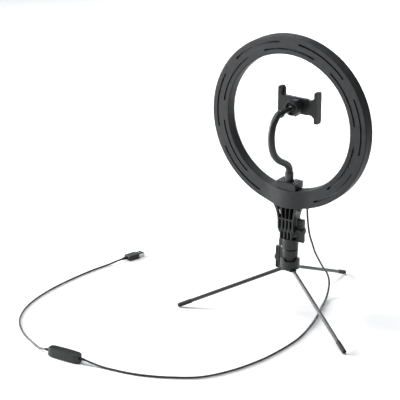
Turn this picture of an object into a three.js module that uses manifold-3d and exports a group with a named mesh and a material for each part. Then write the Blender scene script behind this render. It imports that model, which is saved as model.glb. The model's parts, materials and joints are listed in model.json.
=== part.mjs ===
// A 26 cm ring light on a folding table tripod, with a phone clamp on a gooseneck and a USB lead
// with an in-line controller. Millimetres, +Z up, lit side towards -Y.
// The group's origin is on the floor, under the middle of the standing light.
import * as THREE from "three";
import { mergeVertices } from "three/addons/utils/BufferGeometryUtils.js";
import Module from "manifold-3d";

const wasm = await Module();
wasm.setup();

// ---- Driving dimensions ----
const GAP = 0.3; // between neighbouring pieces that don't move on each other
const PLAY = 0.4; // around pieces that slide or turn

// Ring
const RING_R = 130; // outer radius
const HOLE_R = 102.8; // inner radius
const RING_DEPTH = 18; // front to back
const RING_LIFT = 38; // from the tilt bolt up to the ring's lowest edge
const RING_Y = 4.7; // middle plane, from the tripod's axis
const WALL = 2.2; // casing walls
const EDGE = 1.5; // bevel of the casing's rear edges
const DIFFUSER_T = 2.4; // thickness of the frosted front
const SLOT_W = 2.6; // width of the cooling slots
const OUTER_SLOT_IN = 8.7; // outer row's distance from the outer edge
const INNER_SLOT_IN = 8.2; // inner row's distance from the hole
const BULGE_W = 82; // thickened foot of the casing
const BULGE_D = 5.5;

// Table tripod
const LEG_LENGTH = 169.9; // hinge to the centre of the foot's end
const LEG_SPREAD = 66.95; // degrees from hanging straight down
const LEG_R = 2.9;
const FOOT_R = 3.5;
const FOOT_L = 20;
const HINGE_R = 9.5; // hinge's distance from the tripod's axis
const HUB_R = 14.8;
const CHEEK_T = 2.2; // walls on both sides of a leg's hinge
const PIN_R = 1.3;
const COLUMN_R = 12;
const SOCKET_R = 12.2;
const STUD_R = 5;
const SEAM_Z = 102; // where the turning socket meets the column
const TILT_Z = 134;
const KNUCKLE_R = 9.6;
const FORK_X = 2.7; // middle of the tilt fork, from the tripod's axis
const FIN_PITCH = 6.1; // from one fin to the next of the same fork
const FIN_T = 2.5;
const HEAD_H = 12; // height of the block under the fork
const BOLT_R = 2.4;
const LOCK_Z = 84;
const LOCK_WING = 35.2; // span of the lock knob's wings
const TILT_WING = 37; // span of the tilt knob's wings
const RIB_T = 1.1; // ribs of the bracket
const RIB_FAN = 1.35; // how much further apart the ribs stand at the ring
const WEB_T = 2;
const BRACKET_HALF = 24; // half width of the bracket where it meets the ring

// Gooseneck and phone clamp
const SHOE_W = 34;
const SHOE_D = 22.5;
const SHOE_H = 12.4; // shoe block's height over the hole's lowest point
const NECK_Y = 6.5;
const NECK_R = 5.2;
const FERRULE_R = 6.4;
const FERRULE_L = 14;
const BALL_RISE = 110.4; // from the shoe's top to the clamp's ball
const BALL_R = 6;
const STEM_R = 3.6;
const NUT_R = 12;
const CLAMP_H = 23.5; // height of the clamp's bar
const BAR_T = 6.4;
const JAW_H = 48;
const JAW_T = 4.8;
const JAW_D = 13.5;
const GRIP = 53; // between the jaws' pads when closed
const PAD_T = 1.4;

// Lead
const CORD_R = 1.5;
const GROMMET_L = 2.6; // below the ring
const CONTROL_L = 53;
const CONTROL_W = 15.5;
const CONTROL_H = 13.5;
const BUTTON_R = 2.6;
const PLUG_W = 15.6;
const PLUG_H = 7.6;
const PLUG_L = 20;

// ---- Worked-out places ----
const DEG = Math.PI / 180;
const SPREAD = LEG_SPREAD * DEG;
const HINGE_Z = FOOT_R + LEG_LENGTH * Math.cos(SPREAD);
const FOOT_REACH = HINGE_R + LEG_LENGTH * Math.sin(SPREAD);
const TRIPOD_Y = FOOT_REACH / 4; // puts the middle of the three feet's box over the origin
const LEG_TURNS = [-60, 180, 60]; // each leg's heading, degrees from +Y towards -X
const RING_Z = TILT_Z + RING_LIFT + RING_R;
const SHOE_Z = RING_Z - HOLE_R + SHOE_H;
const BALL_Z = SHOE_Z + BALL_RISE;
const REAR_Y = RING_Y + RING_DEPTH / 2;
const HUB_LOW = HINGE_Z - 4;
const COLLAR_LOW = HINGE_Z + 0.8;
const HUB_TOP = HINGE_Z + 18.6;
const COLUMN_LOW = HINGE_Z + 5 + GAP;
const STUD_LOW = LOCK_Z - 6;
const BOSS_X = 15.5; // outer face of the lock's boss
const BOSS_HALF = 4.4;
const DIP_TURNS = [30, 150, 270]; // headings of the collar's dips
const KNUCKLE_W = 4 * FIN_PITCH + FIN_T; // across the head's five fins
const SCREW_X = 17.5;
const SCREW_SIDES = [-1, 1];
const EXIT_X = -30.8; // where the lead leaves the ring
const BALL_Y = 0;
const CLAMP_Y = BALL_Y - 14.9; // middle plane of the clamp's bar

// Height of the ring's outer edge at a distance x from the middle.
function ringBottom(x) {
  return RING_Z - Math.sqrt(RING_R ** 2 - x ** 2);
}

// ---- Shapes ----
function solidOf(geometry) {
  const flat = geometry.index ? geometry.toNonIndexed() : geometry;
  const bare = new THREE.BufferGeometry();
  bare.setAttribute("position", flat.getAttribute("position"));
  const merged = mergeVertices(bare, 1e-3);
  const solid = new wasm.Manifold(
    new wasm.Mesh({
      numProp: 3,
      vertProperties: merged.attributes.position.array,
      triVerts: new Uint32Array(merged.index.array),
    }),
  );
  return solid;
}

function geometryOf(solid) {
  const mesh = solid.getMesh();
  const geometry = new THREE.BufferGeometry();
  geometry.setAttribute("position", new THREE.BufferAttribute(mesh.vertProperties, 3));
  geometry.setIndex(new THREE.BufferAttribute(mesh.triVerts, 1));
  const faceted = geometry.toNonIndexed();
  faceted.computeVertexNormals();
  return faceted;
}

function join(first, ...rest) {
  return geometryOf(rest.reduce((sum, g) => sum.add(solidOf(g)), solidOf(first)));
}

function cut(first, ...rest) {
  return geometryOf(rest.reduce((sum, g) => sum.subtract(solidOf(g)), solidOf(first)));
}

function common(a, b) {
  return geometryOf(solidOf(a).intersect(solidOf(b)));
}

// A block between two corners.
function block(x0, x1, y0, y1, z0, z1) {
  const box = new THREE.BoxGeometry(x1 - x0, y1 - y0, z1 - z0);
  return box.translate((x0 + x1) / 2, (y0 + y1) / 2, (z0 + z1) / 2);
}

// A solid turned about Z from [radius, height] points that start and end on the axis, going up.
function turned(points, sides = 16) {
  const profile = points.map(([r, z]) => new THREE.Vector2(r, z));
  return new THREE.LatheGeometry(profile, sides).rotateX(Math.PI / 2);
}

function rod(radius, low, high, sides = 16) {
  return turned([[0, low], [radius, low], [radius, high], [0, high]], sides);
}

// A rod with bevelled ends.
function softRod(radius, low, high, bevel, sides = 16) {
  return turned(
    [
      [0, low],
      [radius - bevel, low],
      [radius, low + bevel],
      [radius, high - bevel],
      [radius - bevel, high],
      [0, high],
    ],
    sides,
  );
}

const alongX = (geometry) => geometry.rotateY(Math.PI / 2);
const alongY = (geometry) => geometry.rotateX(-Math.PI / 2);

// A closed ring turned about the Y axis from [radius, y] points.
function hoop(points, sides = 64) {
  const closed = [...points, points[0]].map(([r, y]) => new THREE.Vector2(r, y));
  return new THREE.LatheGeometry(closed, sides);
}

// An outline in X and Z, thickened along Y from y0 to y1.
function plateXZ(shape, y0, y1, curveSegments = 8) {
  const options = { depth: y1 - y0, bevelEnabled: false, curveSegments };
  return new THREE.ExtrudeGeometry(shape, options).rotateX(Math.PI / 2).translate(0, y1, 0);
}

// An outline in X and Y, thickened along Z from z0 to z1.
function plateXY(shape, z0, z1, curveSegments = 8) {
  const options = { depth: z1 - z0, bevelEnabled: false, curveSegments };
  return new THREE.ExtrudeGeometry(shape, options).translate(0, 0, z0);
}

// An outline in Y and Z, thickened along X from x0 to x1.
function plateYZ(shape, x0, x1, curveSegments = 8) {
  const options = { depth: x1 - x0, bevelEnabled: false, curveSegments };
  const upright = new THREE.ExtrudeGeometry(shape, options).rotateX(Math.PI / 2);
  return upright.rotateZ(Math.PI / 2).translate(x0, 0, 0);
}

function roundedRect(w, h, r) {
  const s = new THREE.Shape();
  s.moveTo(-w / 2 + r, -h / 2);
  s.lineTo(w / 2 - r, -h / 2);
  s.absarc(w / 2 - r, -h / 2 + r, r, -Math.PI / 2, 0);
  s.lineTo(w / 2, h / 2 - r);
  s.absarc(w / 2 - r, h / 2 - r, r, 0, Math.PI / 2);
  s.lineTo(-w / 2 + r, h / 2);
  s.absarc(-w / 2 + r, h / 2 - r, r, Math.PI / 2, Math.PI);
  s.lineTo(-w / 2, -h / 2 + r);
  s.absarc(-w / 2 + r, -h / 2 + r, r, Math.PI, 1.5 * Math.PI);
  return s;
}

// A tube of a round section along a curve.
function tube(curve, radius, sides, steps) {
  const section = new THREE.Shape();
  for (let i = 0; i < sides; i++) {
    const a = (2 * Math.PI * i) / sides;
    section[i ? "lineTo" : "moveTo"](radius * Math.cos(a), radius * Math.sin(a));
  }
  const options = { steps, bevelEnabled: false, extrudePath: curve };
  return new THREE.ExtrudeGeometry(section, options);
}

function smoothCurve(points) {
  return new THREE.CatmullRomCurve3(points.map((p) => new THREE.Vector3(...p)), false, "centripetal");
}

// ---- Materials ----
const plastic = { color: 0x3c3d3f, roughness: 0.6, metalness: 0 };
const FINISHES = {
  casing: { ...plastic, color: 0x47484a },
  plastic,
  dark: { ...plastic, color: 0x222325, roughness: 0.5 },
  diffuser: { color: 0xf2f2ee, roughness: 0.55, metalness: 0 },
  board: { color: 0xdfe3e0, roughness: 0.6, metalness: 0.1 },
  green: { color: 0x1d4a33, roughness: 0.5, metalness: 0 },
  rubber: { color: 0x1b1b1c, roughness: 0.8, metalness: 0 },
  neck: { color: 0x2a2b2d, roughness: 0.45, metalness: 0.2 },
  tube: { color: 0x2b2c2e, roughness: 0.4, metalness: 0.5 },
  steel: { color: 0x9a9c9f, roughness: 0.35, metalness: 1 },
  blackSteel: { color: 0x303133, roughness: 0.4, metalness: 0.8 },
};

const model = new THREE.Group();
const light = new THREE.Group();
light.position.y = TRIPOD_Y;
model.add(light);

function add(name, geometry, finish, parent = light) {
  const mesh = new THREE.Mesh(geometry, new THREE.MeshStandardMaterial(FINISHES[finish]));
  mesh.name = name;
  parent.add(mesh);
  return mesh;
}

// ---- Tripod ----
function hubBase() {
  const core = turned([
    [0, HUB_LOW],
    [6, HUB_LOW],
    [8, HUB_LOW + 1.6],
    [8, HINGE_Z + 3.5],
    [COLUMN_R - 0.6, HINGE_Z + 3.5],
    [COLUMN_R - 0.6, HINGE_Z + 5],
    [0, HINGE_Z + 5],
  ], 24);
  const cheeks = [];
  for (const turn of LEG_TURNS) {
    for (const side of [-1, 1]) {
      const inner = side * (LEG_R + PLAY);
      const outer = side * (LEG_R + PLAY + CHEEK_T);
      const x0 = Math.min(inner, outer);
      const x1 = Math.max(inner, outer);
      const cheek = block(x0, x1, 4, HINGE_R + 1.8, HINGE_Z - 2.4, HINGE_Z + 4);
      cheeks.push(cheek.rotateZ(turn * DEG));
    }
  }
  const bores = LEG_TURNS.map((turn) => {
    const bore = alongX(rod(PIN_R + PLAY / 4, -8, 8, 12)).translate(0, HINGE_R, HINGE_Z);
    return bore.rotateZ(turn * DEG);
  });
  const pockets = LEG_TURNS.map((turn) => {
    const wide = LEG_R + PLAY;
    const pocket = block(-wide, wide, HINGE_R - 4.2, 20, HINGE_Z - 12, HINGE_Z + 3.6);
    return pocket.rotateZ(turn * DEG);
  });
  return cut(join(core, ...cheeks), ...pockets, ...bores);
}

// A notch for the lock's boss faces +X; the collar's upper edge rises in lobes between its dips,
// and its skirt is open over each hinge.
function hubCollar() {
  const low = HUB_TOP - 4.2;
  const wall = softRod(HUB_R, COLLAR_LOW, HUB_TOP, 0.6, 36);
  const dips = DIP_TURNS.map((turn) => {
    const s = new THREE.Shape();
    s.moveTo(-10, HUB_TOP + 1);
    s.lineTo(-7, low);
    s.lineTo(7, low);
    s.lineTo(10, HUB_TOP + 1);
    return plateXZ(s, 4, HUB_R + 4, 4).rotateZ(turn * DEG);
  });
  const bore = rod(COLUMN_R - 0.6 + GAP, COLLAR_LOW - 1, HUB_TOP + 1, 36);
  const openings = LEG_TURNS.map((turn) => {
    const wide = LEG_R + PLAY + CHEEK_T + GAP;
    const opening = block(-wide, wide, 4, HUB_R + 4, COLLAR_LOW - 1, HINGE_Z + 4 + GAP);
    return opening.rotateZ(turn * DEG);
  });
  const notch = block(7, 20, -BOSS_HALF - PLAY, BOSS_HALF + PLAY, LOCK_Z - 8, HUB_TOP + 5);
  return cut(wall, bore, notch, ...openings, ...dips);
}

function column() {
  const barrel = turned([
    [0, COLUMN_LOW],
    [COLUMN_R - 0.6, COLUMN_LOW],
    [COLUMN_R - 0.6, HUB_TOP],
    [COLUMN_R, SEAM_Z - 4],
    [COLUMN_R, SEAM_Z - 1],
    [COLUMN_R - 0.6, SEAM_Z - GAP],
    [0, SEAM_Z - GAP],
  ], 28);
  const boss = block(8, BOSS_X, -BOSS_HALF, BOSS_HALF, LOCK_Z - 7.6, SEAM_Z - 1.2);
  const bore = rod(STUD_R + PLAY, STUD_LOW - 1, SEAM_Z + 1);
  const screwHole = alongX(rod(2 + GAP, 1, BOSS_X + 2, 16)).translate(0, 0, LOCK_Z);
  return cut(join(barrel, boss), bore, screwHole);
}

// The socket's stud turns in the column, where the thumbscrew holds it.
function panStud() {
  return turned([
    [0, STUD_LOW],
    [STUD_R, STUD_LOW],
    [STUD_R, SEAM_Z + 9],
    [STUD_R + 1.2, SEAM_Z + 9.6],
    [STUD_R + 1.2, SEAM_Z + 11.5],
    [0, SEAM_Z + 11.5],
  ]);
}

function legTube() {
  const pipe = rod(LEG_R, -LEG_LENGTH + FOOT_L - 4, -3.2, 16);
  const eye = alongX(rod(3.3, -LEG_R, LEG_R, 16));
  const bore = alongX(rod(PIN_R + PLAY / 2, -5, 5, 12));
  return cut(join(pipe, eye), bore);
}

function legFoot() {
  const top = -LEG_LENGTH + FOOT_L;
  const cap = turned([
    [0, -LEG_LENGTH - FOOT_R],
    [FOOT_R * 0.5, -LEG_LENGTH - FOOT_R * 0.866],
    [FOOT_R * 0.866, -LEG_LENGTH - FOOT_R * 0.5],
    [FOOT_R, -LEG_LENGTH],
    [FOOT_R, top - 1],
    [FOOT_R - 0.3, top],
    [0, top],
  ], 16);
  return cut(cap, rod(LEG_R + GAP / 2, -LEG_LENGTH + FOOT_L - 4.3, top + 1, 16));
}

function addLeg(number, turn) {
  const place = new THREE.Group();
  place.rotation.z = turn * DEG;
  light.add(place);
  const hinge = new THREE.Group();
  hinge.position.set(0, HINGE_R, HINGE_Z);
  hinge.rotation.x = SPREAD;
  place.add(hinge);
  add(`leg_tube_${number}`, legTube(), "tube", hinge);
  add(`leg_foot_${number}`, legFoot(), "rubber", hinge);
  const half = LEG_R + PLAY + CHEEK_T;
  const pin = alongX(rod(PIN_R, -half, half, 12)).translate(0, HINGE_R, HINGE_Z);
  add(`leg_pin_${number}`, pin, "steel", place);
}

// A knob with two wings, for the thumbscrews: its axis is +X, its foot at x = 0.
function wingKnob(span, thick, depth) {
  const s = new THREE.Shape();
  const half = span / 2;
  s.moveTo(-thick / 2, -half + 1.5);
  s.lineTo(-thick / 2 + 1.5, -half);
  s.lineTo(thick / 2 - 1.5, -half);
  s.lineTo(thick / 2, -half + 1.5);
  s.lineTo(thick / 2, half - 1.5);
  s.lineTo(thick / 2 - 1.5, half);
  s.lineTo(-thick / 2 + 1.5, half);
  s.lineTo(-thick / 2, half - 1.5);
  const wing = plateYZ(s, 2, depth, 4);
  return join(wing, alongX(softRod(5.4, 0, depth + 1.4, 0.8, 20)));
}

function lockScrew() {
  const shank = rod(2, STUD_R + PLAY + GAP, BOSS_X + 3, 16);
  return alongX(shank).translate(0, 0, LOCK_Z);
}

function lockKnob() {
  const knob = wingKnob(LOCK_WING, 7, 7.5).translate(BOSS_X + GAP, 0, LOCK_Z);
  return cut(knob, alongX(rod(2 + GAP, 0, BOSS_X + 3 + GAP, 16)).translate(0, 0, LOCK_Z));
}

// ---- Socket and tilt fork ----
function finPlate(x, low, high) {
  const s = new THREE.Shape();
  s.moveTo(-KNUCKLE_R, low);
  s.lineTo(KNUCKLE_R, low);
  s.lineTo(KNUCKLE_R, high);
  s.lineTo(-KNUCKLE_R, high);
  return plateYZ(s, x - FIN_T / 2, x + FIN_T / 2);
}

function knuckleDisc(x) {
  const disc = rod(KNUCKLE_R, x - FIN_T / 2, x + FIN_T / 2, 20);
  return alongX(disc).translate(0, 0, TILT_Z);
}

// The block under the fork's fins, with bevelled upper corners.
function headOutline(top) {
  const half = KNUCKLE_W / 2 - 2.2;
  const s = new THREE.Shape();
  s.moveTo(-half, top - HEAD_H);
  s.lineTo(half, top - HEAD_H);
  s.lineTo(half, top - 1.4);
  s.lineTo(half - 1.4, top);
  s.lineTo(-half + 1.4, top);
  s.lineTo(-half, top - 1.4);
  return s;
}

function socketBody() {
  const low = SEAM_Z + GAP;
  const floor = TILT_Z - KNUCKLE_R - 5.5;
  const barrel = turned([
    [0, low],
    [SOCKET_R - 0.8, low],
    [SOCKET_R, low + 0.8],
    [SOCKET_R + 0.4, floor - 0.8],
    [SOCKET_R - 0.4, floor],
    [0, floor],
  ], 28);
  const fins = [-1.5, -0.5, 0.5, 1.5].flatMap((step) => {
    const x = step * FIN_PITCH;
    return [finPlate(x, floor - 1, TILT_Z), knuckleDisc(x)];
  });
  const head = plateXZ(headOutline(floor), -KNUCKLE_R, KNUCKLE_R);
  const bore = rod(STUD_R + GAP, SEAM_Z - 1, SEAM_Z + 9 + GAP);
  const pocket = rod(STUD_R + 1.2 + GAP, SEAM_Z + 9, SEAM_Z + 11.5 + GAP);
  const boltBore = alongX(rod(BOLT_R + GAP, -20, 20, 16)).translate(0, 0, TILT_Z);
  const fork = join(head, ...fins).translate(FORK_X, 0, 0);
  const body = join(barrel, fork);
  return cut(body, bore, pocket, boltBore);
}

function tiltBolt() {
  const bolt = rod(BOLT_R, -KNUCKLE_W / 2 - 9, KNUCKLE_W / 2 + 3.4, 16);
  return alongX(bolt).translate(FORK_X, 0, TILT_Z);
}

function tiltKnob() {
  const place = -KNUCKLE_W / 2 - GAP;
  const knob = wingKnob(TILT_WING, 6.5, 12).rotateZ(Math.PI).translate(place, 0, TILT_Z);
  const bore = alongX(rod(BOLT_R + GAP, place - 9, 0, 16)).translate(0, 0, TILT_Z);
  return cut(knob, bore).translate(FORK_X, 0, 0);
}

// A six-sided nut held in the fork's other cheek.
function tiltNut() {
  const nut = alongX(rod(4.6, KNUCKLE_W / 2 + GAP, KNUCKLE_W / 2 + 4, 6)).translate(0, 0, TILT_Z);
  const bore = alongX(rod(BOLT_R + GAP, 0, KNUCKLE_W, 16)).translate(0, 0, TILT_Z);
  return cut(nut, bore).translate(FORK_X, 0, 0);
}

// ---- Ring ----
function bracketOutline() {
  const top = ringBottom(BRACKET_HALF) + 0.5;
  const half = KNUCKLE_W / 2;
  const waist = TILT_Z + KNUCKLE_R + 3;
  const s = new THREE.Shape();
  s.moveTo(-half, TILT_Z);
  s.lineTo(half, TILT_Z);
  s.lineTo(half, waist);
  s.bezierCurveTo(half + 0.8, waist + 11, half + 3.5, top - 7, BRACKET_HALF, top);
  s.lineTo(-BRACKET_HALF, top);
  s.bezierCurveTo(-half - 3.5, top - 7, -half - 0.8, waist + 11, -half, waist);
  return s;
}

// The foot of the ring: five fins for the tilt fork under a ribbed, flared neck.
function standBracket() {
  const web = TILT_Z + KNUCKLE_R + 6.5;
  const flare = plateXZ(bracketOutline(), -KNUCKLE_R + 1, KNUCKLE_R + 1.6);
  const slots = [-1.5, -0.5, 0.5, 1.5].map((step) => {
    const x = step * FIN_PITCH;
    const w = (FIN_PITCH - FIN_T) / 2;
    return block(x - w, x + w, -20, 20, TILT_Z - 20, web);
  });
  const low = web + WEB_T;
  const high = RING_Z - RING_R + 8;
  const pockets = [-1.5, -0.5, 0.5, 1.5].map((step) => {
    const w = (FIN_PITCH - RIB_T) / 2;
    const x = step * FIN_PITCH;
    const s = new THREE.Shape();
    s.moveTo(x - w, low);
    s.lineTo(x + w, low);
    s.lineTo((x + w) * RIB_FAN, high);
    s.lineTo((x - w) * RIB_FAN, high);
    return plateXZ(s, -2, 20);
  });
  const discs = [-2, -1, 0, 1, 2].map((step) => knuckleDisc(step * FIN_PITCH));
  const bore = alongX(rod(BOLT_R + GAP, -30, 30, 16)).translate(0, 0, TILT_Z);
  const ringCut = hoop([[RING_R + GAP, -20], [RING_R + GAP, 20], [1, 20], [1, -20]]);
  ringCut.translate(0, RING_Y, RING_Z);
  const screwRooms = SCREW_SIDES.flatMap((side) => {
    const z = ringBottom(SCREW_X);
    const hole = rod(1.3 + GAP, z - 20, z + 20, 12);
    const room = rod(2.4 + PLAY, z - 30, z - 5 + GAP, 16);
    return [hole, room].map((g) => g.translate(side * SCREW_X, RING_Y, 0));
  });
  const body = cut(join(cut(flare, ...slots), ...discs), ...pockets).translate(FORK_X, 0, 0);
  return cut(body, bore, ringCut, ...screwRooms);
}

function bracketScrew(side) {
  const z = ringBottom(SCREW_X);
  const screw = turned([
    [0, z - 7],
    [1.8, z - 7],
    [2.4, z - 6.4],
    [2.4, z - 5],
    [1.3, z - 5],
    [1.3, z + 6],
    [0, z + 6],
  ], 16);
  return screw.translate(side * SCREW_X, RING_Y, 0);
}

function arcSlot(radius, middle, span) {
  const s = new THREE.Shape();
  const from = (middle - span / 2) * DEG;
  const to = (middle + span / 2) * DEG;
  const half = SLOT_W / 2;
  s.absarc(0, 0, radius + half, from, to, false);
  s.absarc(radius * Math.cos(to), radius * Math.sin(to), half, to, to + Math.PI, false);
  s.absarc(0, 0, radius - half, to, from, true);
  s.absarc(radius * Math.cos(from), radius * Math.sin(from), half, from + Math.PI, from, false);
  return s;
}

function coolingSlots() {
  const outer = [-2.5, -1.5, -0.5, 0.5, 1.5, 2.5].map((n) => [RING_R - OUTER_SLOT_IN, 90 + 55 * n, 39]);
  const inner = [-2, -1, 0, 1, 2].map((n) => [HOLE_R + INNER_SLOT_IN, 90 + 60 * n, 43]);
  return [...outer, ...inner].map(([radius, middle, span]) => {
    const slot = plateXZ(arcSlot(radius, middle, span), REAR_Y - WALL - 1, REAR_Y + 1, 5);
    return slot.translate(0, 0, RING_Z);
  });
}

function bulge() {
  const s = new THREE.Shape();
  const half = BULGE_W / 2;
  s.moveTo(-half, REAR_Y - 1);
  s.bezierCurveTo(-half + 14, REAR_Y, -half + 16, REAR_Y + BULGE_D, 0, REAR_Y + BULGE_D);
  s.bezierCurveTo(half - 16, REAR_Y + BULGE_D, half - 14, REAR_Y, half, REAR_Y - 1);
  const lens = plateXY(s, RING_Z - RING_R - 2, RING_Z - HOLE_R + 4, 7);
  const band = hoop([[HOLE_R + 0.3, -20], [RING_R - 0.4, -20], [RING_R - 0.4, 30], [HOLE_R + 0.3, 30]]);
  return common(lens, band.translate(0, RING_Y, RING_Z));
}

function rearCasing() {
  const lip = -RING_DEPTH / 2 + DIFFUSER_T + GAP;
  const rear = RING_DEPTH / 2;
  const shell = hoop([
    [RING_R, -rear],
    [RING_R, rear - EDGE],
    [RING_R - EDGE, rear],
    [HOLE_R + EDGE, rear],
    [HOLE_R, rear - EDGE],
    [HOLE_R, lip],
    [HOLE_R + WALL, lip],
    [HOLE_R + WALL, rear - WALL],
    [RING_R - WALL, rear - WALL],
    [RING_R - WALL, -rear],
  ]).translate(0, RING_Y, RING_Z);
  const exitZ = ringBottom(EXIT_X);
  const cordHole = rod(CORD_R + 1 + GAP, exitZ - 6, exitZ + 12, 16).translate(EXIT_X, RING_Y, 0);
  const screwHoles = SCREW_SIDES.map((side) => {
    const z = ringBottom(SCREW_X);
    return rod(1.3 + GAP, z - 6, z + 12, 12).translate(side * SCREW_X, RING_Y, 0);
  });
  return cut(join(shell, bulge()), ...coolingSlots(), cordHole, ...screwHoles);
}

function diffuser() {
  const front = -RING_DEPTH / 2;
  const back = front + DIFFUSER_T;
  const outer = RING_R - WALL - GAP;
  return hoop([
    [outer, front + 0.6],
    [outer, back],
    [HOLE_R + 0.2, back],
    [HOLE_R + 0.2, front + 0.6],
    [HOLE_R + 0.8, front],
    [outer - 0.6, front],
  ]).translate(0, RING_Y, RING_Z);
}

function ledBoard() {
  const back = RING_DEPTH / 2 - WALL - 3;
  const inner = HOLE_R + WALL + 1;
  const outer = RING_R - WALL - 1;
  const ring = hoop([[outer, back - 1.2], [outer, back], [inner, back], [inner, back - 1.2]]);
  return ring.translate(0, RING_Y, RING_Z);
}

function driverBoard() {
  const z = RING_Z - (RING_R + HOLE_R) / 2;
  return block(8, 34, REAR_Y - WALL - 1.8, REAR_Y - WALL - GAP, z - 4, z + 6);
}

function cordGrommet() {
  const z = ringBottom(EXIT_X);
  const collar = turned([
    [0, z - GROMMET_L],
    [CORD_R + 0.6, z - GROMMET_L],
    [CORD_R + 1.6, z - 1],
    [CORD_R + 1.6, z - 0.6],
    [CORD_R + 1, z - 0.6],
    [CORD_R + 1, z + 3.4],
    [0, z + 3.4],
  ], 16);
  return collar.translate(EXIT_X, RING_Y, 0);
}

// ---- Gooseneck ----
function shoeBlock() {
  const y = RING_Y + 0.8;
  const outline = roundedRect(SHOE_W, SHOE_D, 1.5);
  const body = plateXY(outline, RING_Z - HOLE_R, SHOE_Z, 3).translate(0, y, 0);
  const seat = hoop([[HOLE_R - GAP, -40], [HOLE_R - GAP, 40], [20, 40], [20, -40]]);
  const inHole = common(body, seat.translate(0, RING_Y, RING_Z));
  const groove = block(-SHOE_W / 2 + 3, -SHOE_W / 2 + 4.2, -20, 40, SHOE_Z - 1.4, SHOE_Z + 1);
  const bore = rod(3 + PLAY, SHOE_Z - 8, SHOE_Z + 1).translate(0, NECK_Y, 0);
  return cut(inHole, groove, bore);
}

const NECK_ROUTE = [
  [0, NECK_Y, SHOE_Z + FERRULE_L + 2 * GAP],
  [0, NECK_Y + 0.4, SHOE_Z + FERRULE_L + 4],
  [0, NECK_Y + 2.6, SHOE_Z + FERRULE_L + 8.5],
  [0, 14, SHOE_Z + 27.4],
  [0, 23, SHOE_Z + 32.9],
  [0, 34, SHOE_Z + 38.9],
  [0, 46, SHOE_Z + 48.4],
  [0, 54, SHOE_Z + 60.4],
  [0, 57.3, BALL_Z - 36],
  [0, 57, BALL_Z - 22.5],
  [0, 53, BALL_Z - 11],
  [0, 46.5, BALL_Z - 4],
  [0, 41, BALL_Z - 0.25],
  [0, 37 + 3 * GAP, BALL_Z],
];

function lowerFerrule() {
  const top = SHOE_Z + FERRULE_L;
  const body = turned([
    [0, SHOE_Z - 7.4],
    [3, SHOE_Z - 7.4],
    [3, SHOE_Z + GAP],
    [FERRULE_R + 1.7, SHOE_Z + GAP],
    [FERRULE_R + 1.7, SHOE_Z + 1.6],
    [FERRULE_R, SHOE_Z + 1.9],
    [FERRULE_R, top - 0.8],
    [FERRULE_R - 0.8, top],
    [0, top],
  ], 20);
  return body.translate(0, NECK_Y, 0);
}

function upperFerrule() {
  const body = turned([
    [0, 10],
    [STEM_R, 10],
    [STEM_R, 30],
    [NECK_R + 0.4, 31],
    [NECK_R + 0.9, 32],
    [NECK_R + 0.9, 35.6],
    [NECK_R, 37],
    [0, 37],
  ], 16);
  const bore = rod(1.8 + GAP, 9, 17, 12);
  return alongY(cut(body, bore)).translate(0, BALL_Y, BALL_Z);
}

function ballStud() {
  const ball = new THREE.SphereGeometry(BALL_R, 14, 9);
  const pin = alongY(rod(1.8, 0, 16.5, 12));
  const neck = alongY(rod(2.6, 0, 9.7, 16));
  return join(ball, pin, neck).translate(0, BALL_Y, BALL_Z);
}

// The cup that holds the ball, threaded outside for the nut.
function ballCup() {
  const cup = turned([
    [0, -8.6],
    [8.2, -8.6],
    [8.2, -0.4],
    [7.6, 2.6],
    [0, 2.6],
  ], 24);
  const hollow = new THREE.SphereGeometry(BALL_R + GAP, 14, 9);
  const mouth = turned([[0, 0], [5.2, 0], [5.9, 4], [0, 4]]);
  return alongY(cut(cup, hollow, mouth)).translate(0, BALL_Y, BALL_Z);
}

// The nut that tightens the cup, with broad lobes for the fingers.
function ballNut() {
  const body = turned([
    [0, -7.6],
    [NUT_R - 1, -7.6],
    [NUT_R - 0.2, -6.6],
    [NUT_R - 0.2, 3],
    [NUT_R - 1.4, 6],
    [0, 6],
  ], 32);
  const lobes = [0, 1, 2, 3, 4, 5].map((n) => {
    const lobe = softRod(3.6, -6.8, 2.6, 0.6, 10).translate(NUT_R - 2.2, 0, 0);
    return lobe.rotateZ((n * Math.PI) / 3);
  });
  const bore = turned([
    [0, -9],
    [8.2 + PLAY, -9],
    [8.2 + PLAY, 3],
    [9.4, 7],
    [0, 7],
  ], 24);
  return alongY(cut(join(body, ...lobes), bore)).translate(0, BALL_Y, BALL_Z);
}

// ---- Phone clamp ----
const BODY_X = GRIP / 2 + PAD_T + GAP; // inner face of the fixed jaw
const CHANNEL_X = BODY_X - 5; // end of the arm's channel
const SPRING_R = 1.3;
const BAR_Y0 = CLAMP_Y - BAR_T / 2;
const BAR_Y1 = CLAMP_Y + BAR_T / 2;
const ARM_T = 3.2; // thickness of the sliding arm
const ARM_Z = CLAMP_H / 2 - 2.6; // half height of the sliding arm

// A jaw's outline in Y and Z: tall, with rounded ends.
function jawPlate(x0, x1) {
  const plate = plateYZ(roundedRect(JAW_D, JAW_H, 3.2), x0, x1, 4);
  return plate.translate(0, BAR_Y1 - JAW_D / 2, BALL_Z);
}

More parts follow.
